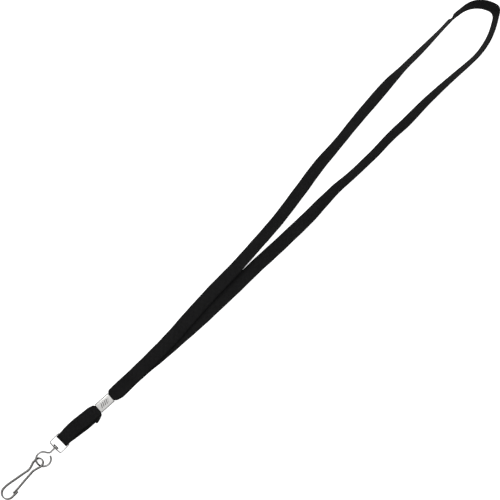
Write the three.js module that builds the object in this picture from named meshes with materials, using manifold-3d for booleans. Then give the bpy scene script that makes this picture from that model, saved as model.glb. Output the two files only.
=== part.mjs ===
// A neck lanyard: one flat woven strap held in a metal crimp, with a strap bail, a swivel eye and a
// flat spring hook on its tail loop. It lies on a table, in millimetres, +Z up. The origin is the
// middle of the crimp's flat back, +Y runs up the strap to the neck bend, and -Y down to the hook.
import * as THREE from "three";
import { mergeVertices } from "three/addons/utils/BufferGeometryUtils.js";
import Module from "manifold-3d";

// Strap
const strapWidth = 10;
const strapThickness = 0.8;
const strapStep = 6; // longest straight facet along the strap

// Crimp, folded from one strip of sheet round three layers of strap
const crimpLength = 12.2;
const crimpWidth = 7.8;
const crimpWall = 0.7;
const crimpCorner = 1.2;
const crimpSeam = 0.4; // open seam between the folded ends of the sheet
const crimpSeamX = 1.8; // the seam lies on the back, off centre
const crimpTurn = -3.5; // degrees, how far the crimp lies turned on the table

// Strap bail, a rectangular loop of strip with a bowed lower bar
const bailStrip = 0.55; // sheet thickness
const bailDepth = 3.6; // width of the strip, up from the table
const bailLength = 9.2; // upper bar's middle to the lower bar's outer face at the corners
const bailBow = 0.3; // how far the lower bar bows out at the stem
const bailCorner = 0.8;

// Swivel eye, a headed wire bent round into a ring
const wireDiameter = 1.35;
const headDiameter = 4.4;
const headThickness = 1.2;
const stemReach = 5.8; // lower bar's outer face to the ring's top
const ringAcross = 11.4; // wire centre to wire centre, across the stem
const ringAlong = 10.7; // the same, along the stem
const ringRoll = 21.5; // degrees, how far the ring lies rolled on the stem
const ringWireSides = 10;

// Spring hook, one flat strip bent to an eye, a long leg, a round bottom and a springy gate
const hookStrip = 1;
const hookDepth = 2.4;
const hookEyeRadius = 3.4; // to the middle of the strip
const hookNeckDrop = 7.9; // eye centre to the pinched neck
const hookDrop = 30.7; // eye centre to the centre of the bottom bend
const hookBottomRadius = 4.8;
const hookBottomShift = -0.4; // the bottom bend sits a little to the long leg's side
const tipRise = 5.8; // bottom bend's centre up to the end of the tip
const gateOverlap = 3.4; // how far the gate's end reaches down behind the tip
const hookRoll = 24; // degrees, how far the hook lies rolled from the table

// Clearances
const gap = 0.3; // between pieces that touch
const runningGap = 0.25; // between the bail's sides and the strap
const onTable = 0.1; // rest height of what lies on the table

const radians = THREE.MathUtils.degToRad;

// Where the pieces stand. The tail loop folds round the bail's upper bar, which turns inside it.
const barSwing = Math.hypot(bailDepth, bailStrip) / 2; // the upper bar's reach as it turns
const foldRadius = barSwing + gap / 2 + strapThickness / 2; // to the middle of the strap
const axisHeight = onTable + foldRadius + strapThickness / 2;
const foldX = -2.55;
const foldShift = 0.08; // the loop's front layer lies this far left of the fold, its back layer right
const tailLength = 41.8; // crimp's middle to the outside of the fold
const barY = -tailLength + foldRadius + strapThickness / 2;
const bailWidth = strapWidth + 2 * (runningGap + bailStrip);
const bailBottomY = barY - bailLength;
const ringTopY = bailBottomY - bailBow - stemReach;
const ringCentreY = ringTopY - ringAlong / 2;
const hookEyeX = foldX - 0.65;
const hookEyeY = ringCentreY - ringAlong / 2 + 1;
const hookHeight =
  onTable +
  (hookBottomRadius - hookBottomShift) * Math.sin(radians(hookRoll)) +
  (hookDepth / 2) * Math.cos(radians(hookRoll)) +
  (hookStrip / 2) * Math.sin(radians(hookRoll));

const crimpInside = 3 * strapThickness + 4 * gap;
const crimpHeight = crimpInside + 2 * crimpWall;
const layerHeight = (layer) =>
  crimpWall + gap + strapThickness / 2 + (layer - 1) * (strapThickness + gap);
const pinchedWidth = crimpWidth - 2 * (crimpWall + gap);

const wasm = await Module();
wasm.setup();

function solidOf(geometry) {
  const bare = geometry.index ? geometry.toNonIndexed() : geometry.clone();
  bare.deleteAttribute("normal");
  bare.deleteAttribute("uv");
  const merged = mergeVertices(bare, 1e-4);
  return new wasm.Manifold(
    new wasm.Mesh({
      numProp: 3,
      vertProperties: new Float32Array(merged.attributes.position.array),
      triVerts: new Uint32Array(merged.index.array),
    }),
  );
}

function geometryOf(solid) {
  const mesh = solid.getMesh();
  return new THREE.BufferGeometry()
    .setAttribute("position", new THREE.BufferAttribute(mesh.vertProperties, 3))
    .setIndex(new THREE.BufferAttribute(mesh.triVerts, 1));
}

function named(name, geometry, material) {
  const mesh = new THREE.Mesh(geometry, material);
  mesh.name = name;
  return mesh;
}

const wovenPolyester = new THREE.MeshStandardMaterial({
  color: 0x1b1b1b,
  roughness: 0.85,
  metalness: 0,
});
const satinNickel = new THREE.MeshStandardMaterial({
  color: 0xc9c8c4,
  roughness: 0.35,
  metalness: 1,
});
const brightNickel = new THREE.MeshStandardMaterial({
  color: 0xd9d9d9,
  roughness: 0.15,
  metalness: 1,
});
const springSteel = new THREE.MeshStandardMaterial({
  color: 0x8f8f8d,
  roughness: 0.3,
  metalness: 1,
});

// One station of the strap's route: its middle, and the way from there to its upper selvedge.
// lift is the lower selvedge's height over the table. leanX and leanY say how far the upper
// selvedge stands off the middle in plan, as shares of the half width: 1 is flat, 0 is on edge.
function station(x, y, lift, leanX, leanY, width = strapWidth) {
  const flat = Math.min(1, Math.hypot(leanX, leanY));
  const stand = Math.sqrt(1 - flat * flat);
  const half = width / 2;
  return {
    middle: new THREE.Vector3(x, y, lift + (strapThickness / 2) * flat + half * stand),
    selvedge: new THREE.Vector3(leanX, leanY, stand).setLength(half),
  };
}

// A station in the crimp, so far along it, in one of its layers, flat and pinched to fit.
function crimpStation(along, layer) {
  const turn = radians(crimpTurn);
  return station(
    -Math.sin(turn) * along,
    Math.cos(turn) * along,
    layerHeight(layer) - strapThickness / 2,
    Math.cos(turn),
    Math.sin(turn),
    pinchedWidth,
  );
}

// A flat station of the tail loop, by the height of its middle.
function tailStation(x, y, height, width = strapWidth) {
  return station(x, y, height - strapThickness / 2, 0.996, -0.08, width);
}

// The strap's whole route, from the cut end below the crimp, up through the crimp, up the right
// side, round the neck bend, down the left side, through the crimp again, round the bail's bar and
// back up into the crimp.
function strapRoute() {
  const mouth = crimpLength / 2;
  const flared = 0.9 * strapWidth; // just outside the crimp
  const spread = mouth + 1.7;
  const under = strapThickness + gap; // the left side lies on the right side near the crimp
  const lying = onTable + strapThickness / 2;
  const cutEnd = [
    station(1.8, -15.3, 1.35, 0.98, 0.2),
    station(1.1, -11.6, 1.5, 0.98, 0.15),
    station(0.2, -spread, 1.8, 0.997, 0.05, flared),
  ];
  const upThroughCrimp = [-mouth, 0, mouth].map((along) => crimpStation(along, 2));
  const rightSide = [
    station(0.5, spread, 1.75, 1, -0.03, flared),
    station(1.3, 12, 1.3, 1, -0.03),
    station(1.5, 24, 0.4, 1, -0.04),
    station(2.25, 38, onTable, 1, -0.05),
    station(3.3, 49, onTable, 1, -0.07),
    station(4.25, 61, onTable, 1, -0.08),
    station(6, 88, onTable, 0.995, -0.07),
    station(7.1, 118, onTable, 0.99, -0.04),
    station(7.55, 145, onTable, 1, -0.02),
    station(8.6, 172, onTable, 0.985, -0.03),
    station(9.15, 196, onTable, 0.95, -0.02),
    station(8.75, 218, onTable, 0.77, 0),
    station(8.8, 229, onTable, 0.68, -0.01),
    station(9.75, 241, onTable, 0.61, -0.02),
    station(10.35, 264, onTable, 0.62, 0),
    station(9.9, 280, 0.1, 0.63, 0.01),
    station(10.5, 296, 0.4, 0.675, 0.02),
    station(10.25, 316, 1, 0.575, 0),
    station(11.25, 341, 2.4, 0.43, 0),
    station(12.3, 356, 3.3, 0.36, 0.1),
    station(12.6, 366, 3.6, 0.31, 0.32),
    station(10.9, 377, 2.9, 0.2, 0.62),
    station(7.7, 386, 1.7, 0.06, 0.7),
    station(4, 393, 0.7, 0, 0.7),
  ];
  const neckBend = [
    station(1.2, 397.2, 0.2, 0, 0.7),
    station(-1.6, 398.6, onTable, 0.02, 0.7),
    station(-6.4, 397.3, onTable, 0, 0.73),
    station(-11, 394.4, 0.3, -0.06, 0.76),
  ];
  const leftSide = [
    station(-14.7, 390.4, 1, -0.14, 0.76),
    station(-17.3, 385.2, 2, -0.22, 0.66),
    station(-18.5, 378, 2.9, -0.23, 0.45),
    station(-19, 372.9, 3.3, -0.2, 0.26),
    station(-18.95, 371.1, 3.4, 0.2, 0.18),
    station(-18.8, 364, 3.4, 0.22, 0.08),
    station(-18.6, 356, 3.2, 0.26, 0.06),
    station(-18.4, 340, 2.4, 0.4, 0),
    station(-18.55, 322, 1.4, 0.46, 0),
    station(-18.3, 308, 0.7, 0.69, -0.02),
    station(-17.55, 296, 0.3, 0.775, -0.04),
    station(-16.05, 276, onTable, 0.75, 0.06),
    station(-13.6, 252, onTable, 0.715, 0.08),
    station(-11.85, 230, onTable, 0.845, 0.1),
    station(-8.65, 208, onTable, 0.88, 0.11),
    station(-5.3, 184, onTable, 0.875, 0.09),
    station(-3.3, 158, onTable, 0.87, 0.06),
    station(-2.05, 134, 0.1, 0.9, 0.03),
    station(-1.65, 110, 0.3, 0.94, 0.03),
    station(-0.5, 88, 0.7, 0.97, 0.06),
    station(0.8, 68, under, 0.99, 0.04),
    station(1.2, 48, under + 0.1, 0.995, 0.02),
    station(0.9, 28, under + 0.5, 1, 0.02),
    station(0.3, 12, under + 1.25, 1, -0.03),
    station(0.1, spread, under + 1.75, 1, -0.04, flared),
  ];
  const downThroughCrimp = [mouth, 0, -mouth].map((along) => crimpStation(along, 3));
  const tailFront = [
    tailStation(-0.45, -spread, 3.5, flared),
    tailStation(-1.1, -11.5, 3.2),
    tailStation(-1.75, -17, 2.85),
    tailStation(-2.3, -22, 2.8),
    tailStation(-2.85, -28.5, axisHeight + 0.5),
    tailStation(-2.95, -34, axisHeight + 1.8),
    tailStation(-2.62, -37.1, axisHeight + 2.32),
  ];
  const fold = [];
  for (let degrees = 90; degrees >= -90; degrees -= 22.5) {
    const turn = radians(degrees);
    const flat = station(
      foldX - foldShift * Math.sin(turn),
      barY - foldRadius * Math.cos(turn),
      axisHeight + foldRadius * Math.sin(turn) - strapThickness / 2,
      1,
      0,
    );
    fold.push(flat);
  }
  const tailBack = [
    tailStation(-2.44, -37, lying),
    tailStation(-1.7, -33, lying),
    tailStation(-0.65, -26, lying),
    tailStation(0.3, -17, lying),
    tailStation(0.5, -11, lying + 0.2),
    tailStation(0.2, -spread, lying + 0.6, flared),
  ];
  const backIntoCrimp = [-mouth, 0, mouth - gap].map((along) => crimpStation(along, 1));
  return [
    ...cutEnd,
    ...upThroughCrimp,
    ...rightSide,
    ...neckBend,
    ...leftSide,
    ...downThroughCrimp,
    ...tailFront,
    ...fold,
    ...tailBack,
    ...backIntoCrimp,
  ];
}

// The strap is a flat bar bent along its route: each cross-section runs from selvedge to selvedge.
function strap() {
  const route = strapRoute();
  const middles = new THREE.CatmullRomCurve3(
    route.map((one) => one.middle),
    false,
    "centripetal",
  );
  const selvedges = new THREE.CatmullRomCurve3(
    route.map((one) => one.selvedge),
    false,
    "catmullrom",
    0.5,
  );
  const spans = route.length - 1;
  const sections = [];
  for (let span = 0; span < spans; span++) {
    const length = route[span].middle.distanceTo(route[span + 1].middle);
    const steps = Math.ceil(length / strapStep);
    for (let step = 0; step < steps; step++) sections.push((span + step / steps) / spans);
  }
  sections.push(1);

  const bar = new THREE.BoxGeometry(1, 1, 1, 1, sections.length - 1, 1);
  const position = bar.attributes.position;
  for (let i = 0; i < position.count; i++) {
    const section = Math.round((position.getY(i) + 0.5) * (sections.length - 1));
    const at = sections[section];
    const span = Math.min(spans - 1, Math.floor(at * spans));
    const halfWidth = THREE.MathUtils.lerp(
      route[span].selvedge.length(),
      route[span + 1].selvedge.length(),
      at * spans - span,
    );
    const across = selvedges.getPoint(at).setLength(halfWidth);
    const face = across.clone().cross(middles.getTangent(at)).setLength(strapThickness);
    const point = middles
      .getPoint(at)
      .addScaledVector(across, 2 * position.getX(i))
      .addScaledVector(face, position.getZ(i));
    position.setXYZ(i, point.x, point.y, point.z);
  }
  return named("strap", bar, wovenPolyester);
}

// The crimp's sheet in section: round the strap's three layers, with an open seam on its back.
function crimp() {
  const half = crimpWidth / 2;
  const inner = half - crimpWall;
  const innerCorner = crimpCorner - crimpWall;
  const seamLeft = crimpSeamX - crimpSeam / 2;
  const seamRight = crimpSeamX + crimpSeam / 2;
  const quarter = Math.PI / 2;
  const sheet = new THREE.Shape();
  sheet.moveTo(seamRight, 0);
  sheet.absarc(half - crimpCorner, crimpCorner, crimpCorner, -quarter, 0);
  sheet.absarc(half - crimpCorner, crimpHeight - crimpCorner, crimpCorner, 0, quarter);
  sheet.absarc(crimpCorner - half, crimpHeight - crimpCorner, crimpCorner, quarter, Math.PI);
  sheet.absarc(crimpCorner - half, crimpCorner, crimpCorner, Math.PI, 3 * quarter);
  sheet.lineTo(seamLeft, 0);
  sheet.lineTo(seamLeft, crimpWall);
  const corner = inner - innerCorner;
  const low = crimpWall + innerCorner;
  const high = crimpHeight - low;
  sheet.absarc(-corner, low, innerCorner, 3 * quarter, Math.PI, true);
  sheet.absarc(-corner, high, innerCorner, Math.PI, quarter, true);
  sheet.absarc(corner, high, innerCorner, quarter, 0, true);
  sheet.absarc(corner, low, innerCorner, 0, -quarter, true);
  sheet.lineTo(seamRight, crimpWall);
  sheet.closePath();
  const body = new THREE.ExtrudeGeometry(sheet, {
    depth: crimpLength,
    bevelEnabled: false,
    curveSegments: 5,
  });
  body.rotateX(Math.PI / 2).translate(0, crimpLength / 2, 0);
  const mesh = named("crimp", body, satinNickel);
  mesh.rotation.z = radians(crimpTurn);
  return mesh;
}

// The bail's loop in plan, so far inside the strip's outer face.
function bailOutline(path, inset) {
  const half = bailWidth / 2 - inset;
  const top = bailStrip / 2 - inset;
  const bottom = -bailLength + inset;
  const round = bailCorner - inset;
  const quarter = Math.PI / 2;
  path.moveTo(half, top - round);
  path.absarc(half - round, top - round, round, 0, quarter);
  path.absarc(round - half, top - round, round, quarter, Math.PI);
  path.absarc(round - half, bottom + round, round, Math.PI, 3 * quarter);
  path.quadraticCurveTo(0, bottom - 2 * bailBow, half - round, bottom);
  path.absarc(half - round, bottom + round, round, -quarter, 0);
  path.closePath();
  return path;
}

function bail() {
  const loop = bailOutline(new THREE.Shape(), 0);
  loop.holes.push(bailOutline(new THREE.Path(), bailStrip));
  const strip = new THREE.ExtrudeGeometry(loop, {
    depth: bailDepth,
    bevelEnabled: false,
    curveSegments: 6,
  });
  strip.translate(0, 0, -bailDepth / 2);
  const stemHole = new THREE.CylinderGeometry(
    wireDiameter / 2 + gap,
    wireDiameter / 2 + gap,
    4 * (bailBow + bailStrip),
    24,
  );
  stemHole.translate(0, -bailLength - bailBow, 0);
  const pierced = solidOf(strip).subtract(solidOf(stemHole));
  const mesh = named("strap_bail", geometryOf(pierced), brightNickel);
  mesh.position.set(foldX, barY, axisHeight);
  return mesh;
}

// The swivel eye: a round head inside the bail, a stem through its lower bar, and a ring whose wire
// leaves the stem to the left and comes round to end beside it. The ring's own origin is its centre.
function swivelEye() {
  const wireRadius = wireDiameter / 2;
  const bar = bailBottomY - bailBow - ringCentreY; // the lower bar's outer face, from the ring
  const barRise = bailBow * (headDiameter / (bailWidth - 2 * bailCorner)) ** 2; // at the head's rim
  const headBottom = bar + bailStrip + barRise + gap;
  const across = ringAcross / 2;
  const along = ringAlong / 2;
  const points = [
    new THREE.Vector3(0, headBottom + headThickness / 2, 0),
    new THREE.Vector3(0, bar, 0),
    new THREE.Vector3(0, bar - stemReach / 2, 0),
    new THREE.Vector3(-0.05, bar - 0.75 * stemReach, 0),
    new THREE.Vector3(-0.12 * across, along + 0.45 * wireDiameter, 0),
  ];
  const start = 145;
  const turned = 285;
  for (let i = 0; i <= 16; i++) {
    const turn = radians(start + (turned * i) / 16);
    points.push(new THREE.Vector3(across * Math.cos(turn), along * Math.sin(turn), 0));
  }
  const section = new THREE.Shape();
  section.absarc(0, 0, wireRadius, 0, 2 * Math.PI);
  const wire = new THREE.ExtrudeGeometry(section, {
    steps: 54,
    extrudePath: new THREE.CatmullRomCurve3(points, false, "centripetal"),
    curveSegments: ringWireSides / 2,
    bevelEnabled: false,
  });
  const headRadius = headDiameter / 2;
  const head = new THREE.LatheGeometry(
    [
      new THREE.Vector2(0, 0),
      new THREE.Vector2(headRadius - 0.2, 0),
      new THREE.Vector2(headRadius, 0.25 * headThickness),
      new THREE.Vector2(0.85 * headRadius, 0.75 * headThickness),
      new THREE.Vector2(0.5 * headRadius, headThickness),
      new THREE.Vector2(0, headThickness),
    ],
    20,
  );
  head.translate(0, headBottom, 0);
  const joined = solidOf(wire).add(solidOf(head));
  const mesh = named("swivel_eye", geometryOf(joined), brightNickel);
  mesh.position.set(foldX, ringCentreY, axisHeight);
  mesh.rotation.y = radians(ringRoll);
  return mesh;
}

// A bent strip: its middle line through the points, its thickness to both sides, and its depth
// centred on the plane that it is bent in.
function bentStrip(points, segments) {
  const line = new THREE.CatmullRomCurve3(
    points.map(([u, v]) => new THREE.Vector3(u, v, 0)),
    false,
    "centripetal",
  );
  const sides = [[], []];
  for (let i = 0; i <= segments; i++) {
    const at = line.getPointAt(i / segments);
    const along = line.getTangentAt(i / segments);
    const out = new THREE.Vector2(-along.y, along.x).multiplyScalar(hookStrip / 2);
    sides[0].push(new THREE.Vector2(at.x + out.x, at.y + out.y));
    sides[1].push(new THREE.Vector2(at.x - out.x, at.y - out.y));
  }
  const outline = new THREE.Shape([...sides[0], ...sides[1].reverse()]);
  return new THREE.ExtrudeGeometry(outline, { depth: hookDepth, bevelEnabled: false }).translate(
    0,
    0,
    -hookDepth / 2,
  );
}

const neckHalf = 1.6; // half the width of the pinched neck
const gateEndU = hookBottomRadius + hookBottomShift - hookStrip - 0.45;

// The hook's strip from the neck round the eye, down the long leg, round the bottom and up the tip.
function hookBody() {
  const eye = [];
  for (let degrees = 340; degrees <= 560; degrees += 20) {
    const turn = radians(degrees);
    eye.push([hookEyeRadius * Math.cos(turn), hookEyeRadius * Math.sin(turn)]);
  }
  const bottom = [];
  for (let degrees = 200; degrees <= 350; degrees += 15) {
    const turn = radians(degrees);
    bottom.push([
      hookBottomShift + hookBottomRadius * Math.cos(turn),
      -hookDrop + hookBottomRadius * Math.sin(turn),
    ]);
  }
  const legU = hookBottomShift - hookBottomRadius;
  const tipU = hookBottomShift + hookBottomRadius;
  return bentStrip(
    [
      [neckHalf, -hookNeckDrop + gap / 2],
      [neckHalf + 0.1, -0.82 * hookNeckDrop],
      [0.68 * hookEyeRadius, -0.5 * hookNeckDrop],
      ...eye,
      [-0.97 * hookEyeRadius, -0.32 * hookNeckDrop],
      [-0.7 * hookEyeRadius, -0.64 * hookNeckDrop],
      [-neckHalf, -hookNeckDrop],
      [-neckHalf, -hookNeckDrop - 1.4],
      [-neckHalf - 0.65, -hookNeckDrop - 4.4],
      [(legU - neckHalf) / 2 - 0.2, -(hookNeckDrop + hookDrop) / 2],
      [legU + 0.35, -hookDrop + 4.8],
      [legU - 0.02, -hookDrop + 1.4],
      ...bottom,
      [tipU, -hookDrop + 1.5],
      [tipU, -hookDrop + tipRise],
    ],
    96,
  );
}

// The hook's springy gate, from the neck down behind the tip.
function hookGate() {
  return bentStrip(
    [
      [neckHalf, -hookNeckDrop - gap / 2],
      [neckHalf + 0.15, -hookNeckDrop - 2],
      [(neckHalf + gateEndU) / 2, -(hookNeckDrop + hookDrop) / 2 + 2],
      [gateEndU, -hookDrop + tipRise],
      [gateEndU, -hookDrop + tipRise - gateOverlap],
    ],
    20,
  );
}

const hook = new THREE.Group();
hook.position.set(hookEyeX, hookEyeY, hookHeight);
hook.rotation.y = -radians(hookRoll);
hook.add(named("spring_hook", hookBody(), springSteel));
hook.add(named("hook_gate", hookGate(), springSteel));

const group = new THREE.Group();
group.add(strap(), crimp(), bail(), swivelEye(), hook);

export default group;
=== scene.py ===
"""A neck lanyard laid out on a pale table: a flat braided strap, a crimp, a bail, a swivel eye and
a flat spring hook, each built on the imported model's frame, in metres."""

import math

import bmesh
import bpy
from mathutils import Matrix, Vector


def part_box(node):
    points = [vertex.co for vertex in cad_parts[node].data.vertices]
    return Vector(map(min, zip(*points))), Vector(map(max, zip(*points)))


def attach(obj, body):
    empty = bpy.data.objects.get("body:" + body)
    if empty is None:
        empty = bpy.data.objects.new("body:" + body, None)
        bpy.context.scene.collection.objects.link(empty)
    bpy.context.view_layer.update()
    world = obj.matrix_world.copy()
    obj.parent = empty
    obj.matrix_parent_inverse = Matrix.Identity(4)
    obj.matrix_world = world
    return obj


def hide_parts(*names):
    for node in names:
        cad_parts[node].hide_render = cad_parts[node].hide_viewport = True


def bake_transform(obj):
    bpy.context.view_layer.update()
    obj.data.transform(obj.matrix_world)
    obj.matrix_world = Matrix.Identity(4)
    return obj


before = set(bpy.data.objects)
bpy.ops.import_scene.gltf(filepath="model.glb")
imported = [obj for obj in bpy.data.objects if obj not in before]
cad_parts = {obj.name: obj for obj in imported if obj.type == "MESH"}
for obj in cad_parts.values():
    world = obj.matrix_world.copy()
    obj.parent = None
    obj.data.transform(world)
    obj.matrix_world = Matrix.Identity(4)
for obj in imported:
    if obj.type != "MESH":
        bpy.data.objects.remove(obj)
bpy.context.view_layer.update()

# ---------------------------------------------------------------------------------------------
# Camera. It hangs straight above the table with a long lens and is turned so that the strap runs
# from the lower left of the picture to the upper right.
camera_height = 3.0
camera_middle = Vector((-0.0039, 0.1517))
frame_across = 0.36
camera_turn = math.radians(45)

bpy.ops.object.camera_add(
    location=(camera_middle.x, camera_middle.y, camera_height), rotation=(0, 0, camera_turn)
)
camera = bpy.context.object
camera.data.sensor_width = 36
camera.data.lens = camera.data.sensor_width * camera_height / frame_across
camera.data.clip_start = 0.1
camera.data.clip_end = 10
bpy.context.scene.camera = camera

# ---------------------------------------------------------------------------------------------
# Strap. One length of flat black polyester braid, 10 mm wide. It runs from its cut end up through
# the crimp, round the neck bend, down through the crimp again, round the bail and back up into the
# crimp, which pinches it to about 0.6 of its width and puckers it on both sides.
strap_width = 0.01
strap_thickness = 0.0008
strap_gap = 0.0003
strap_step = 0.0016  # spacing of the cross-sections
pucker_reach = 0.011  # how far from the crimp the gathered strap takes to open out flat
pucker_depth = 0.00016
puckers_across = 2.6
waver_depth = 0.00004  # handling leaves the selvedges this far out of line
waver_short, waver_long, waver_lag = 410, 173, 1.7  # radians per metre of strap, and a start
pattern_scale = 1000  # the weave is laid out in millimetres

crimp_length = 0.0122
crimp_width = 0.0078
crimp_wall = 0.0007
crimp_turn = math.radians(-3.5)
pinched_width = crimp_width - 2 * (crimp_wall + strap_gap)
flared_width = 0.9 * strap_width  # just outside the crimp

on_table = 0.0001
bail_axis = Vector((-0.00255, -0.03903, 0.00287))
fold_radius = 0.00237
fold_shift = 0.00008  # the loop's front layer lies this far left of the fold, its back layer right


def strap_station(x, y, lift, lean_x, lean_y, width=strap_width):
    """The strap's middle, and the way from there to its upper selvedge."""
    flat = min(1, math.hypot(lean_x, lean_y))
    stand = math.sqrt(1 - flat * flat)
    height = lift + strap_thickness / 2 * flat + width / 2 * stand
    selvedge = Vector((lean_x, lean_y, stand)).normalized() * width / 2
    return Vector((x, y, height)), selvedge


def crimp_station(along, layer):
    """A station inside the crimp, in its first, second or third layer of strap."""
    lift = crimp_wall + strap_gap + (layer - 1) * (strap_thickness + strap_gap)
    way = Vector((-math.sin(crimp_turn), math.cos(crimp_turn))) * along
    lean = (math.cos(crimp_turn), math.sin(crimp_turn))
    return strap_station(way.x, way.y, lift, *lean, pinched_width)


def tail_station(x, y, height, width=strap_width):
    """A flat station of the tail loop, by the height of its middle."""
    return strap_station(x, y, height - strap_thickness / 2, 0.996, -0.08, width)


mouth = crimp_length / 2
spread = mouth + 0.0017
under = strap_thickness + strap_gap  # the left side lies on the right side near the crimp
lying = on_table + strap_thickness / 2

strap_route = [
    strap_station(0.0018, -0.0153, 0.00135, 0.98, 0.2),
    strap_station(0.0011, -0.0116, 0.0015, 0.98, 0.15),
    strap_station(0.0002, -spread, 0.0018, 0.997, 0.05, flared_width),
]
strap_route += [crimp_station(along, 2) for along in (-mouth, 0, mouth)]
strap_route += [
    strap_station(0.0005, spread, 0.00175, 1, -0.03, flared_width),
    strap_station(0.0013, 0.012, 0.0013, 1, -0.03),
    strap_station(0.0015, 0.024, 0.0004, 1, -0.04),
    strap_station(0.00225, 0.038, on_table, 1, -0.05),
    strap_station(0.0033, 0.049, on_table, 1, -0.07),
    strap_station(0.00425, 0.061, on_table, 1, -0.08),
    strap_station(0.006, 0.088, on_table, 0.995, -0.07),
    strap_station(0.0071, 0.118, on_table, 0.99, -0.04),
    strap_station(0.00755, 0.145, on_table, 1, -0.02),
    strap_station(0.0086, 0.172, on_table, 0.985, -0.03),
    strap_station(0.00915, 0.196, on_table, 0.95, -0.02),
    strap_station(0.00875, 0.218, on_table, 0.77, 0),
    strap_station(0.0088, 0.229, on_table, 0.68, -0.01),
    strap_station(0.00975, 0.241, on_table, 0.61, -0.02),
    strap_station(0.01035, 0.264, on_table, 0.62, 0),
    strap_station(0.0099, 0.28, 0.0001, 0.63, 0.01),
    strap_station(0.0105, 0.296, 0.0004, 0.675, 0.02),
    strap_station(0.01025, 0.316, 0.001, 0.575, 0),
    strap_station(0.01125, 0.341, 0.0024, 0.43, 0),
    strap_station(0.0123, 0.356, 0.0033, 0.36, 0.1),
    strap_station(0.0126, 0.366, 0.0036, 0.31, 0.32),
    strap_station(0.0109, 0.377, 0.0029, 0.2, 0.62),
    strap_station(0.0077, 0.386, 0.0017, 0.06, 0.7),
    strap_station(0.004, 0.393, 0.0007, 0, 0.7),
]
# The neck bend
strap_route += [
    strap_station(0.0012, 0.3972, 0.0002, 0, 0.7),
    strap_station(-0.0016, 0.3986, on_table, 0.02, 0.7),
    strap_station(-0.0064, 0.3973, on_table, 0, 0.73),
    strap_station(-0.011, 0.3944, 0.0003, -0.06, 0.76),
]
# The left side, down to the crimp
strap_route += [
    strap_station(-0.0147, 0.3904, 0.001, -0.14, 0.76),
    strap_station(-0.0173, 0.3852, 0.002, -0.22, 0.66),
    strap_station(-0.0185, 0.378, 0.0029, -0.23, 0.45),
    strap_station(-0.019, 0.3729, 0.0033, -0.2, 0.26),
    strap_station(-0.01895, 0.3711, 0.0034, 0.2, 0.18),
    strap_station(-0.0188, 0.364, 0.0034, 0.22, 0.08),
    strap_station(-0.0186, 0.356, 0.0032, 0.26, 0.06),
    strap_station(-0.0184, 0.34, 0.0024, 0.4, 0),
    strap_station(-0.01855, 0.322, 0.0014, 0.46, 0),
    strap_station(-0.0183, 0.308, 0.0007, 0.69, -0.02),
    strap_station(-0.01755, 0.296, 0.0003, 0.775, -0.04),
    strap_station(-0.01605, 0.276, on_table, 0.75, 0.06),
    strap_station(-0.0136, 0.252, on_table, 0.715, 0.08),
    strap_station(-0.01185, 0.23, on_table, 0.845, 0.1),
    strap_station(-0.00865, 0.208, on_table, 0.88, 0.11),
    strap_station(-0.0053, 0.184, on_table, 0.875, 0.09),
    strap_station(-0.0033, 0.158, on_table, 0.87, 0.06),
    strap_station(-0.00205, 0.134, 0.0001, 0.9, 0.03),
    strap_station(-0.00165, 0.11, 0.0003, 0.94, 0.03),
    strap_station(-0.0005, 0.088, 0.0007, 0.97, 0.06),
    strap_station(0.0008, 0.068, under, 0.99, 0.04),
    strap_station(0.0012, 0.048, under + 0.0001, 0.995, 0.02),
    strap_station(0.0009, 0.028, under + 0.0005, 1, 0.02),
    strap_station(0.0003, 0.012, under + 0.00125, 1, -0.03),
    strap_station(0.0001, spread, under + 0.00175, 1, -0.04, flared_width),
]
strap_route += [crimp_station(along, 3) for along in (mouth, 0, -mouth)]
# The tail loop's front layer, its fold round the bail, and its back layer
strap_route += [
    tail_station(-0.00045, -spread, 0.0035, flared_width),
    tail_station(-0.0011, -0.0115, 0.0032),
    tail_station(-0.00175, -0.017, 0.00285),
    tail_station(-0.0023, -0.022, 0.0028),
    tail_station(-0.00285, -0.0285, bail_axis.z + 0.0005),
    tail_station(-0.00295, -0.034, bail_axis.z + 0.0018),
    tail_station(-0.00262, -0.0371, bail_axis.z + 0.00232),
]
for eighth in range(9):
    turn = math.radians(90 - 22.5 * eighth)
    fold_y = bail_axis.y - fold_radius * math.cos(turn)
    fold_z = bail_axis.z + fold_radius * math.sin(turn)
    fold_x = bail_axis.x - fold_shift * math.sin(turn)
    strap_route.append(strap_station(fold_x, fold_y, fold_z - strap_thickness / 2, 1, 0))
strap_route += [
    tail_station(-0.00244, -0.037, lying),
    tail_station(-0.0017, -0.033, lying),
    tail_station(-0.00065, -0.026, lying),
    tail_station(0.0003, -0.017, lying),
    tail_station(0.0005, -0.011, lying + 0.0002),
    tail_station(0.0002, -spread, lying + 0.0006, flared_width),
]
strap_route += [crimp_station(along, 1) for along in (-mouth, 0, mouth - strap_gap)]


def smooth_through(points, span, share, pull):
    """A point of the smooth line through the points; pull 0.5 keeps it tight on uneven spacing."""
    one, two = points[span], points[span + 1]
    before = points[span - 1] if span else 2 * one - two
    after = points[span + 2] if span + 2 < len(points) else 2 * two - one
    a, b, c = ((q - p).length ** pull or 1e-9 for p, q in ((before, one), (one, two), (two, after)))
    leave = ((one - before) / a - (two - before) / (a + b) + (two - one) / b) * b
    arrive = ((two - one) / b - (after - one) / (b + c) + (after - two) / c) * b
    bend = 2 * (one - two) + leave + arrive
    sweep = -3 * (one - two) - 2 * leave - arrive
    return ((bend * share + sweep) * share + leave) * share + one


# Half of the braid's section, from the middle of a face out to the selvedge: shares of the half
# width and of the half thickness. The selvedge is a slightly thicker bead.
half_section = [(0, 0.9), (0.3, 0.9), (0.6, 0.92), (0.82, 1), (0.93, 0.96), (0.985, 0.6)]
section = half_section + [(1, 0)] + [(w, -t) for w, t in reversed(half_section)]
section += [(-w, t) for w, t in reversed(section[1:-1])]

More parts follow.
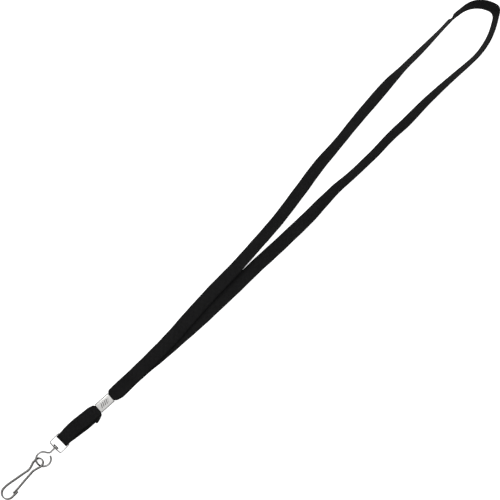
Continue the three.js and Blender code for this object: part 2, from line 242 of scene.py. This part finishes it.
middles = [middle for middle, _ in strap_route]
selvedges = [selvedge for _, selvedge in strap_route]
strap_line, strap_across, strap_mesh_rows, strap_run = [], [], [], [0.0]
for span in range(len(strap_route) - 1):
    steps = max(1, round((middles[span + 1] - middles[span]).length / strap_step))
    last = span == len(strap_route) - 2
    for step in range(steps + last):
        share = step / steps
        half = selvedges[span].length * (1 - share) + selvedges[span + 1].length * share
        strap_line.append(smooth_through(middles, span, share, 0.5))
        across = smooth_through(selvedges, span, share, 0.0).normalized()
        strap_across.append(across * half)
for here, there in zip(strap_line, strap_line[1:]):
    strap_run.append(strap_run[-1] + (there - here).length)

crimp_way = Vector((-math.sin(crimp_turn), math.cos(crimp_turn), 0))
braid = bmesh.new()
braid_uv = braid.loops.layers.uv.new("braid")
for index, (middle, across) in enumerate(zip(strap_line, strap_across)):
    ahead = strap_line[min(index + 1, len(strap_line) - 1)] - strap_line[max(index - 1, 0)]
    face_way = across.cross(ahead).normalized()
    run = strap_run[index]
    # The selvedges waver a little, and the crimp gathers the braid in puckers.
    waver = waver_depth * (math.sin(run * waver_short) + math.sin(run * waver_long + waver_lag))
    side = across.normalized()
    past_crimp = max(0.0, abs(middle.dot(crimp_way)) - mouth)
    gather = max(0.0, 1 - past_crimp / pucker_reach) ** 2 * pucker_depth
    row = []
    for wide, thick in section:
        pucker = gather * math.cos(wide * puckers_across * math.pi) * (1 - wide * wide)
        point = middle + across * wide + side * waver
        point += face_way * (thick * strap_thickness / 2 + pucker)
        row.append(braid.verts.new(point))
    strap_mesh_rows.append(row)

around = [0.0]
for (w0, t0), (w1, t1) in zip(section, section[1:] + section[:1]):
    step = math.hypot((w1 - w0) * strap_width / 2, (t1 - t0) * strap_thickness / 2)
    around.append(around[-1] + step)
for index, (row, ahead) in enumerate(zip(strap_mesh_rows, strap_mesh_rows[1:])):
    for k in range(len(section)):
        nxt = (k + 1) % len(section)
        face = braid.faces.new((row[k], ahead[k], ahead[nxt], row[nxt]))
        face.smooth = True
        corners = ((k, index), (k, index + 1), (k + 1, index + 1), (k + 1, index))
        for loop, (place, station) in zip(face.loops, corners):
            loop[braid_uv].uv = (around[place] * pattern_scale, strap_run[station] * pattern_scale)
braid.faces.new(strap_mesh_rows[0])
braid.faces.new(reversed(strap_mesh_rows[-1]))
bmesh.ops.recalc_face_normals(braid, faces=braid.faces)
strap_mesh = bpy.data.meshes.new("strap_braid")
braid.to_mesh(strap_mesh)
braid.free()
strap = bpy.data.objects.new("strap_braid", strap_mesh)
bpy.context.collection.objects.link(strap)


def start_material(name):
    """A new node material and its shader."""
    material = bpy.data.materials.new(name)
    material.use_nodes = True
    return material, material.node_tree, material.node_tree.nodes["Principled BSDF"]


def feed(tree, node, inputs):
    """Feeds a node's inputs with values or with other nodes' outputs."""
    for key, value in dict(inputs).items():
        if isinstance(value, bpy.types.NodeSocket):
            tree.links.new(value, node.inputs[key])
        else:
            node.inputs[key].default_value = value


def put_node(tree, kind, inputs=(), **settings):
    """A node with its settings, and its inputs fed."""
    node = tree.nodes.new(kind)
    for key, value in settings.items():
        setattr(node, key, value)
    feed(tree, node, inputs)
    return node


def figure(tree, operation, *values):
    """A sum or other figure worked out of values and other nodes' outputs."""
    return put_node(tree, "ShaderNodeMath", dict(enumerate(values)), operation=operation).outputs[0]


def mix_colours(tree, factor, first, second):
    """The first colour, turning to the second as the factor rises."""
    inputs = {"Factor": factor, "A": first, "B": second}
    return put_node(tree, "ShaderNodeMix", inputs, data_type="RGBA").outputs[2]


def put_noise(tree, vector, scale, detail, roughness=0.5, distortion=0.0):
    """Noise, as a value."""
    inputs = {"Vector": vector, "Scale": scale, "Detail": detail}
    inputs |= {"Roughness": roughness, "Distortion": distortion}
    return put_node(tree, "ShaderNodeTexNoise", inputs).outputs["Fac"]


def put_bump(tree, height, strength, distance):
    """Surface relief, as a normal."""
    inputs = {"Height": height, "Strength": strength, "Distance": distance}
    return put_node(tree, "ShaderNodeBump", inputs).outputs[0]


def yarn_crowns(tree, yarns):
    """The rounded tops of one set of parallel yarns."""
    return figure(tree, "ABSOLUTE", figure(tree, "SINE", figure(tree, "MULTIPLY", yarns, math.pi)))


# Braided polyester: yarns cross at both slants, each going over and under the other, and every
# yarn is a bundle of fine, slightly shiny filaments.
yarn_pitch = 1.3  # mm along the strap from one crossing to the next
filament_relief = 0.5  # as a share of a yarn's own relief
wear_floor = 0.6
braid_relief = 0.0002
# Braid colours: near black between the yarns as painted shade, lighter on the yarns' crests as a
# painted highlight.
braid_black = (0.0004, 0.0004, 0.0004, 1)
painted_crest_highlight = (0.02, 0.02, 0.0205, 1)

braided_polyester, tree, shader = start_material("braided_polyester")
uv = put_node(tree, "ShaderNodeUVMap", uv_map="braid")
axes = put_node(tree, "ShaderNodeSeparateXYZ", {0: uv.outputs[0]})
rising, falling = (
    figure(tree, "DIVIDE", figure(tree, way, axes.outputs[0], axes.outputs[1]), yarn_pitch)
    for way in ("ADD", "SUBTRACT")
)
crossing = put_node(tree, "ShaderNodeCombineXYZ", {0: rising, 1: falling})
over = put_node(tree, "ShaderNodeTexChecker", {"Vector": crossing.outputs[0], "Scale": 1.0})
crowns = {"A": yarn_crowns(tree, rising), "B": yarn_crowns(tree, falling)}
yarn = put_node(tree, "ShaderNodeMix", {"Factor": over.outputs["Fac"], **crowns}).outputs[0]
filaments = put_noise(tree, uv.outputs[0], 7.0, 3.0, roughness=0.65)
wear = put_noise(tree, uv.outputs[0], 0.12, 2.0)
relief = figure(tree, "ADD", yarn, figure(tree, "MULTIPLY", filaments, filament_relief))
# Painted highlight on the yarns' crests and painted shade between them, broken up by the filaments
# and by random wear.
crest_highlight_and_wear = figure(
    tree,
    "MULTIPLY",
    figure(tree, "MULTIPLY", yarn, filaments),
    figure(tree, "ADD", wear, wear_floor),
)
feed(
    tree,
    shader,
    {
        "Base Color": mix_colours(tree, crest_highlight_and_wear, braid_black, painted_crest_highlight),
        "Normal": put_bump(tree, relief, 0.8, braid_relief),
        "Roughness": 0.52,
        "Specular IOR Level": 0.08,
        "Sheen Weight": 0.01,
        "Sheen Roughness": 0.45,
    },
)
strap.data.materials.append(braided_polyester)

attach(strap, "lanyard")
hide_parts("strap")

# ---------------------------------------------------------------------------------------------
# Crimp. A strip of nickel-plated sheet folded into a flat sleeve round three layers of strap and
# pressed. Its long corners are round, its open seam is on the back, and a plain row of slanted
# strokes is stamped on the front.
crimp_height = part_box("crimp")[1][2]
crimp_corner = 0.0012
crimp_seam = 0.0004
crimp_seam_x = 0.0018
crimp_rim = 0.00012
lined_up = 0.9  # a direction whose share along an axis is more than this counts as along it


def select_only(piece):
    """Selects the piece and nothing else, and makes it active."""
    bpy.ops.object.select_all(action="DESELECT")
    piece.select_set(True)
    bpy.context.view_layer.objects.active = piece


def finish_modifier(piece, kind, **settings):
    """Adds a modifier to the piece and applies it."""
    select_only(piece)
    modifier = piece.modifiers.new(kind.title(), kind)
    for key, value in settings.items():
        setattr(modifier, key, value)
    bpy.ops.object.modifier_apply(modifier=modifier.name)


def round_edges(piece, width, segments, turn):
    """Rounds the edges that turn by more than this many degrees."""
    limit = {"limit_method": "ANGLE", "angle_limit": math.radians(turn)}
    finish_modifier(piece, "BEVEL", width=width, segments=segments, **limit)


def combine(piece, other, operation):
    """Cuts the other object out of the piece or joins it on, and removes the other."""
    finish_modifier(piece, "BOOLEAN", object=other, operation=operation, solver="EXACT")
    bpy.data.objects.remove(other)


def shade_smooth(piece, turn):
    """Shades the piece smooth, apart from edges that turn by more than this many degrees."""
    select_only(piece)
    bpy.ops.object.shade_smooth_by_angle(angle=math.radians(turn))


bpy.ops.object.select_all(action="DESELECT")
bpy.ops.mesh.primitive_cube_add(
    size=1,
    location=(0, 0, crimp_height / 2),
    scale=(crimp_width, crimp_length, crimp_height),
)
crimp = bpy.context.object
crimp.name = "crimp_sleeve"
bpy.ops.object.transform_apply(location=True, rotation=True, scale=True)
bpy.ops.object.mode_set(mode="EDIT")
bpy.ops.mesh.select_mode(type="EDGE")
bpy.ops.mesh.select_all(action="DESELECT")
sleeve = bmesh.from_edit_mesh(crimp.data)
for edge in sleeve.edges:
    way = (edge.verts[1].co - edge.verts[0].co).normalized()
    edge.select_set(abs(way.y) > lined_up)
bmesh.update_edit_mesh(crimp.data)
bpy.ops.mesh.bevel(offset=crimp_corner, segments=7, profile=0.5)
bpy.ops.mesh.select_mode(type="FACE")
bpy.ops.mesh.select_all(action="DESELECT")
sleeve = bmesh.from_edit_mesh(crimp.data)
for face in sleeve.faces:
    face.select_set(abs(face.normal.y) > lined_up)
bmesh.update_edit_mesh(crimp.data)
bpy.ops.mesh.delete(type="FACE")
bpy.ops.object.mode_set(mode="OBJECT")
finish_modifier(crimp, "SOLIDIFY", thickness=crimp_wall, offset=-1)

bpy.ops.object.select_all(action="DESELECT")
bpy.ops.mesh.primitive_cube_add(
    size=1, location=(crimp_seam_x, 0, 0), scale=(crimp_seam, 2 * crimp_length, 3 * crimp_wall)
)
seam_cutter = bpy.context.object
combine(crimp, seam_cutter, "DIFFERENCE")
round_edges(crimp, crimp_rim, 3, 50)
crimp.data.transform(Matrix.Rotation(crimp_turn, 4, "Z"))
shade_smooth(crimp, 35)

# Satin nickel: fine rolling marks along the sleeve, a little uneven, and the stamped strokes,
# whose grooves carry painted shade.
stroke_pitch = 0.0016
stroke_slant = 0.45
stroke_gap = 0.35  # the strokes are stamped where their wave is above this
stamp_half_width = 0.0016
stamp_half_length = 0.0034
stamp_within = 0.0002  # of the front face
stamp_shade_strength = 0.85
rolling_relief = 0.04  # as a share of the stamp's

satin_nickel, tree, shader = start_material("satin_nickel")
place = put_node(tree, "ShaderNodeTexCoord").outputs["Object"]
turned = put_node(
    tree, "ShaderNodeMapping", {"Vector": place, "Rotation": (0, 0, -crimp_turn)}
).outputs[0]
rolled = put_node(
    tree, "ShaderNodeMapping", {"Vector": turned, "Scale": (9000.0, 350.0, 9000.0)}
).outputs[0]
rolling = put_noise(tree, rolled, 1.0, 3.0)
clouding = put_noise(tree, turned, 420.0, 3.0, roughness=0.6)
axes = put_node(tree, "ShaderNodeSeparateXYZ", {0: turned})
slant = figure(
    tree, "ADD", axes.outputs[1], figure(tree, "MULTIPLY", axes.outputs[0], stroke_slant)
)
stroke_wave = figure(
    tree, "SINE", figure(tree, "MULTIPLY", slant, 2 * math.pi / stroke_pitch)
)
stroke = figure(tree, "GREATER_THAN", stroke_wave, stroke_gap)
within_x = figure(tree, "LESS_THAN", figure(tree, "ABSOLUTE", axes.outputs[0]), stamp_half_width)
within_y = figure(tree, "LESS_THAN", figure(tree, "ABSOLUTE", slant), stamp_half_length)
on_front = figure(tree, "GREATER_THAN", axes.outputs[2], crimp_height - stamp_within)
stamp = figure(
    tree,
    "MULTIPLY",
    figure(tree, "MULTIPLY", stroke, on_front),
    figure(tree, "MULTIPLY", within_x, within_y),
)
plate = mix_colours(tree, clouding, (0.55, 0.545, 0.535, 1), (0.68, 0.675, 0.66, 1))
# Painted shade: the stamped strokes' grooves are coloured near black, besides being sunk by the
# bump.
painted_stamp_shade = figure(tree, "MULTIPLY", stamp, stamp_shade_strength)
roughness = put_node(tree, "ShaderNodeMapRange", {"Value": rolling, "To Min": 0.26, "To Max": 0.42})
depth = figure(tree, "SUBTRACT", figure(tree, "MULTIPLY", rolling, rolling_relief), stamp)
feed(
    tree,
    shader,
    {
        "Base Color": mix_colours(tree, painted_stamp_shade, plate, (0.09, 0.09, 0.088, 1)),
        "Roughness": roughness.outputs[0],
        "Normal": put_bump(tree, depth, 0.5, 0.00015),
        "Metallic": 1.0,
    },
)
crimp.data.materials.append(satin_nickel)

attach(crimp, "lanyard")
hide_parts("crimp")

# ---------------------------------------------------------------------------------------------
# Strap bail. A flat strip of nickel-plated steel bent to a rectangle, its ends butted in the tail
# loop. Its lower bar bows out round the swivel's stem, which turns in a hole in it.
bail_strip = 0.00055
bail_depth = 0.0036
bail_length = 0.0092
bail_bow = 0.0003
bail_corner = 0.0008
bail_half = 0.0116 / 2 - bail_strip / 2
wire_radius = 0.000675
stem_hole_depth = 0.006  # the cutter's, well past both faces of the bar
knot_steps = 6
weld_distance = 0.000001
strip_smooth = 40


def arc_point(x, y, radius, turn):
    """The point of an arc at this many degrees."""
    return x + radius * math.cos(math.radians(turn)), y + radius * math.sin(math.radians(turn))


def bend_strip(name, line, depth, thickness, closed=False, edge_share=1.0):
    """Bends a flat strip along a line in the XY plane. An edge share of 1 makes its edges round."""
    edge = edge_share * thickness / 2
    bpy.ops.object.select_all(action="DESELECT")
    bpy.ops.curve.primitive_bezier_circle_add()
    strip_section = bpy.context.object
    strip_section.data.splines.clear()
    outline = strip_section.data.splines.new("POLY")
    corners = ((1, 1, 0), (-1, 1, 90), (-1, -1, 180), (1, -1, 270))
    steps = range(0, 91, 18)
    turns = [(x, y, math.radians(first + step)) for x, y, first in corners for step in steps]
    outline.points.add(len(turns) - 1)
    for point, (side, end, turn) in zip(outline.points, turns):
        out = side * (thickness / 2 - edge) + edge * math.cos(turn)
        up = end * (depth / 2 - edge) + edge * math.sin(turn)
        point.co = (out, up, 0, 1)
    outline.use_cyclic_u = True

    bpy.ops.object.select_all(action="DESELECT")
    bpy.ops.curve.primitive_bezier_curve_add()
    strip = bpy.context.object
    strip.name = name
    curve = strip.data
    curve.splines.clear()
    spline = curve.splines.new("BEZIER")
    spline.bezier_points.add(len(line) - 1)
    for knot, point in zip(spline.bezier_points, line):
        knot.co = (point[0], point[1], 0)
        knot.handle_left_type = knot.handle_right_type = "AUTO"
    spline.use_cyclic_u = closed
    spline.resolution_u = knot_steps
    curve.dimensions = "3D"
    curve.twist_mode = "Z_UP"
    curve.bevel_mode = "OBJECT"
    curve.bevel_object = strip_section
    curve.use_fill_caps = not closed
    bpy.ops.object.convert(target="MESH")
    strip = bpy.context.object
    bpy.data.objects.remove(strip_section)
    bpy.ops.object.mode_set(mode="EDIT")
    bpy.ops.mesh.select_all(action="SELECT")
    bpy.ops.mesh.remove_doubles(threshold=weld_distance)
    bpy.ops.mesh.normals_make_consistent(inside=False)
    bpy.ops.object.mode_set(mode="OBJECT")
    shade_smooth(strip, strip_smooth)
    return strip


bail_line = []
for corner_x, corner_y, first in (
    (bail_half, 0, 0),
    (-bail_half, 0, 90),
    (-bail_half, -bail_length + bail_strip / 2, 180),
    (bail_half, -bail_length + bail_strip / 2, 270),
):
    middle_x = corner_x - math.copysign(bail_corner, corner_x)
    middle_y = corner_y + (bail_corner if first >= 180 else -bail_corner)
    for turn in (first, first + 30, first + 60, first + 90):
        bail_line.append(arc_point(middle_x, middle_y, bail_corner, turn))
    if first == 180:
        for share in (0.25, 0.5, 0.75):
            bow = 4 * bail_bow * share * (1 - share)
            bar_x = (2 * share - 1) * (bail_half - bail_corner)
            bail_line.append((bar_x, -bail_length + bail_strip / 2 - bow))
bail = bend_strip("strap_bail_strip", bail_line, bail_depth, bail_strip, closed=True)

bpy.ops.object.select_all(action="DESELECT")
bpy.ops.mesh.primitive_cylinder_add(
    vertices=32,
    radius=wire_radius + strap_gap,
    depth=stem_hole_depth,
    location=(0, -bail_length - bail_bow, 0),
    rotation=(math.pi / 2, 0, 0),
)
stem_hole = bpy.context.object
combine(bail, stem_hole, "DIFFERENCE")
bail.data.transform(Matrix.Translation(bail_axis))
shade_smooth(bail, strip_smooth)

# Bright nickel plate: smooth and mirror-like, with a slight haze and a few fine rubs.
bright_nickel, tree, shader = start_material("bright_nickel")
place = put_node(tree, "ShaderNodeTexCoord").outputs["Object"]
haze = put_noise(tree, place, 600.0, 4.0, roughness=0.6)
rubs = put_noise(tree, place, 2600.0, 2.0, distortion=1.5)
roughness = put_node(tree, "ShaderNodeMapRange", {"Value": haze, "To Min": 0.1, "To Max": 0.24})
feed(
    tree,
    shader,
    {
        "Base Color": mix_colours(tree, haze, (0.22, 0.218, 0.212, 1), (0.34, 0.336, 0.328, 1)),
        "Roughness": roughness.outputs[0],
        "Normal": put_bump(tree, rubs, 0.04, 0.00002),
        "Metallic": 1.0,
    },
)
bail.data.materials.append(bright_nickel)

# The strip's sheared edges are painted darker than its plated faces, as painted shade.
edge_shade_nickel = bright_nickel.copy()
edge_shade_nickel.name = "edge_shade_nickel"
tree = edge_shade_nickel.node_tree
edge_shade_noise = put_noise(tree, tree.nodes["Texture Coordinate"].outputs["Object"], 3000.0, 3.0)
painted_edge_shade = mix_colours(tree, edge_shade_noise, (0.1, 0.098, 0.095, 1), (0.22, 0.216, 0.21, 1))
feed(tree, tree.nodes["Principled BSDF"], {"Base Color": painted_edge_shade})
bail.data.materials.append(edge_shade_nickel)
# The strip's top and bottom edge faces take the darker material: painted shade.
for face in bail.data.polygons:
    if abs(face.center.z - bail_axis.z) > bail_depth / 2 - bail_strip / 2:
        face.material_index = 1

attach(bail, "bail")
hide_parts("strap_bail")

# ---------------------------------------------------------------------------------------------
# Swivel eye. One headed wire: a round head inside the bail, a stem through the bail's lower bar,
# and a ring whose wire leaves the stem to the left and comes round to end just beside it.
ring_across = 0.0114 / 2
ring_along = 0.0107 / 2
ring_roll = math.radians(21.5)
stem_reach = 0.0058
head_radius = 0.0022
head_thickness = 0.0012
head_round = 0.0004
wire_end_round = 0.0003
ring_start, ring_sweep, ring_parts = 145, 285, 16  # degrees, and lengths of wire between knots
bar_y = bail_axis.y - bail_length - bail_bow  # the lower bar's outer face at the stem
ring_middle = Vector((bail_axis.x, bar_y - stem_reach - ring_along, bail_axis.z))
stem_bar = bar_y - ring_middle.y
head_rise = bail_bow * (2 * head_radius / (2 * bail_half - 2 * bail_corner)) ** 2
head_bottom = stem_bar + bail_strip + head_rise + strap_gap

wire_line = [
    (0, head_bottom + head_thickness / 2),
    (0, stem_bar),
    (0, stem_bar - stem_reach / 2),
    (-0.00005, stem_bar - 0.75 * stem_reach),
    (-0.12 * ring_across, ring_along + 0.45 * 2 * wire_radius),
]
for part in range(ring_parts + 1):
    turn = math.radians(ring_start + ring_sweep * part / ring_parts)
    wire_line.append((ring_across * math.cos(turn), ring_along * math.sin(turn)))
eye = bend_strip("swivel_eye_wire", wire_line, 2 * wire_radius, 2 * wire_radius)
round_edges(eye, wire_end_round, 4, 60)

bpy.ops.object.select_all(action="DESELECT")
bpy.ops.mesh.primitive_cylinder_add(
    vertices=40,
    radius=head_radius,
    depth=head_thickness,
    location=(0, head_bottom + head_thickness / 2, 0),
    rotation=(-math.pi / 2, 0, 0),
)
head = bpy.context.object
bpy.ops.object.transform_apply(location=True, rotation=True, scale=True)
round_edges(head, head_round, 5, 60)
combine(eye, head, "UNION")
eye.data.transform(Matrix.Translation(ring_middle) @ Matrix.Rotation(ring_roll, 4, "Y"))
shade_smooth(eye, strip_smooth)
eye.data.materials.clear()
eye.data.materials.append(bright_nickel)

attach(eye, "swivel")
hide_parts("swivel_eye")

# ---------------------------------------------------------------------------------------------
# Spring hook. One flat strip of spring steel: it starts as the springy gate, comes up to a pinched
# neck, round the eye on the swivel's ring, back past the neck, down the long leg, round the bottom
# and up to the tip that the gate closes against. It is made here as two lengths that butt on the
# left of the eye, because the gate bends at the neck and the leg doesn't.
hook_strip = 0.001
hook_depth = 0.0024
hook_eye_radius = 0.0034
hook_neck_drop = 0.0079
hook_drop = 0.0307
hook_bottom_radius = 0.0048
hook_bottom_shift = -0.0004
tip_rise = 0.0058
gate_overlap = 0.0034
hook_roll = math.radians(24)
hook_height = (
    on_table
    + (hook_bottom_radius - hook_bottom_shift + hook_strip / 2) * math.sin(hook_roll)
    + hook_depth / 2 * math.cos(hook_roll)
)
hook_eye_middle = Vector(
    (bail_axis.x - 0.00065, ring_middle.y - ring_along + 0.001, hook_height)
)
neck_half = 0.0016
hook_seam = 200  # degrees round the eye to where the two lengths butt
gate_end_x = hook_bottom_radius + hook_bottom_shift - hook_strip - 0.00045
hook_place = Matrix.Translation(hook_eye_middle) @ Matrix.Rotation(-hook_roll, 4, "Y")

gate_line = [
    (gate_end_x, -hook_drop + tip_rise - gate_overlap),
    (gate_end_x, -hook_drop + tip_rise),
    ((neck_half + gate_end_x) / 2, -(hook_neck_drop + hook_drop) / 2 + 0.002),
    (neck_half + 0.00015, -hook_neck_drop - 0.002),
    (neck_half, -hook_neck_drop),
    (neck_half + 0.0001, -0.82 * hook_neck_drop),
    (0.68 * hook_eye_radius, -0.5 * hook_neck_drop),
]
gate_line += [arc_point(0, 0, hook_eye_radius, turn) for turn in range(-20, hook_seam + 1, 20)]
leg_x = hook_bottom_shift - hook_bottom_radius
tip_x = hook_bottom_shift + hook_bottom_radius
leg_line = [
    arc_point(0, 0, hook_eye_radius, hook_seam),
    (-0.97 * hook_eye_radius, -0.32 * hook_neck_drop),
    (-0.7 * hook_eye_radius, -0.64 * hook_neck_drop),
    (-neck_half, -hook_neck_drop),
    (-neck_half, -hook_neck_drop - 0.0014),
    (-neck_half - 0.00065, -hook_neck_drop - 0.0044),
    ((leg_x - neck_half) / 2 - 0.0002, -(hook_neck_drop + hook_drop) / 2),
    (leg_x + 0.00035, -hook_drop + 0.0048),
    (leg_x - 0.00002, -hook_drop + 0.0014),
]
for turn in range(200, 351, 15):
    leg_line.append(arc_point(hook_bottom_shift, -hook_drop, hook_bottom_radius, turn))
leg_line += [(tip_x, -hook_drop + 0.0015), (tip_x, -hook_drop + tip_rise)]

gate = bend_strip("hook_gate_strip", gate_line, hook_depth, hook_strip, edge_share=0.5)
leg = bend_strip("hook_leg_strip", leg_line, hook_depth, hook_strip, edge_share=0.5)

# Rolled spring steel under satin nickel: rolling lines along the strip, darker where handled.
spring_steel, tree, shader = start_material("spring_steel")
place = put_node(tree, "ShaderNodeTexCoord").outputs["Object"]
rolled = put_node(
    tree, "ShaderNodeMapping", {"Vector": place, "Scale": (5200.0, 260.0, 5200.0)}
).outputs[0]
rolling = put_noise(tree, rolled, 1.0, 4.0)
handling = put_noise(tree, place, 260.0, 4.0, roughness=0.65)
roughness = put_node(tree, "ShaderNodeMapRange", {"Value": rolling, "To Min": 0.34, "To Max": 0.52})
feed(
    tree,
    shader,
    {
        "Base Color": mix_colours(tree, handling, (0.16, 0.156, 0.149, 1), (0.29, 0.283, 0.271, 1)),
        "Roughness": roughness.outputs[0],
        "Normal": put_bump(tree, rolling, 0.2, 0.00005),
        "Metallic": 1.0,
    },
)

for piece, node in ((gate, "hook_gate"), (leg, "spring_hook")):
    piece.data.transform(hook_place)
    piece.data.materials.append(spring_steel)
    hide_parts(node)
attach(leg, "hook")
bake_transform(gate)

# ---------------------------------------------------------------------------------------------
# Table and light. A plain white table top under soft studio light: a big lamp high on the left,
# a weaker one on the right, and a pale surrounding that is darker towards the horizon.
table_size = 3.0
table_middle = Vector((0, 0.15, 0))
table_drop = 0.00005  # keeps the top just under the lowest pieces
bpy.ops.object.select_all(action="DESELECT")
bpy.ops.mesh.primitive_plane_add(
    size=table_size, location=(table_middle.x, table_middle.y, -table_drop)
)
table_top = bpy.context.object
table_top.name = "table_top"
white_laminate, tree, shader = start_material("white_laminate")
glossy = put_node(tree, "ShaderNodeLightPath").outputs["Is Glossy Ray"]
feed(
    tree,
    shader,
    {
        "Base Color": mix_colours(tree, glossy, (0.9, 0.9, 0.9, 1), (0.45, 0.45, 0.45, 1)),
        "Emission Color": mix_colours(tree, glossy, (1, 1, 1, 1), (0, 0, 0, 1)),
        "Emission Strength": 0.8,
        "Roughness": 0.6,
        "Specular IOR Level": 0.2,
    },
)
table_top.data.materials.append(white_laminate)

for lamp_name, lamp_at, lamp_size, lamp_power in (
    ("left_softbox", Vector((-0.7, 0.25, 1.1)), 0.9, 6),
    ("right_softbox", Vector((0.8, -0.2, 0.9)), 0.6, 0.6),
):
    bpy.ops.object.light_add(type="AREA", location=lamp_at)
    lamp = bpy.context.object
    lamp.name = lamp_name
    lamp.data.size = lamp_size
    lamp.data.energy = lamp_power
    lamp.rotation_euler = (table_middle - lamp_at).to_track_quat("-Z", "Y").to_euler()

studio = bpy.data.worlds.new("studio")
bpy.context.scene.world = studio
studio.use_nodes = True
tree = studio.node_tree
place = put_node(tree, "ShaderNodeTexCoord")
axes = put_node(tree, "ShaderNodeSeparateXYZ", {0: place.outputs["Generated"]})
height = put_node(
    tree,
    "ShaderNodeMapRange",
    {"Value": axes.outputs[2], "From Min": 0.3, "From Max": 0.8, "To Min": 0.0, "To Max": 1.0},
)
sky = mix_colours(tree, height.outputs[0], (0.06, 0.06, 0.063, 1), (1, 1, 1, 1))
feed(tree, tree.nodes["Background"], {"Color": sky, "Strength": 0.9})
bpy.context.scene.view_settings.view_transform = "Standard"
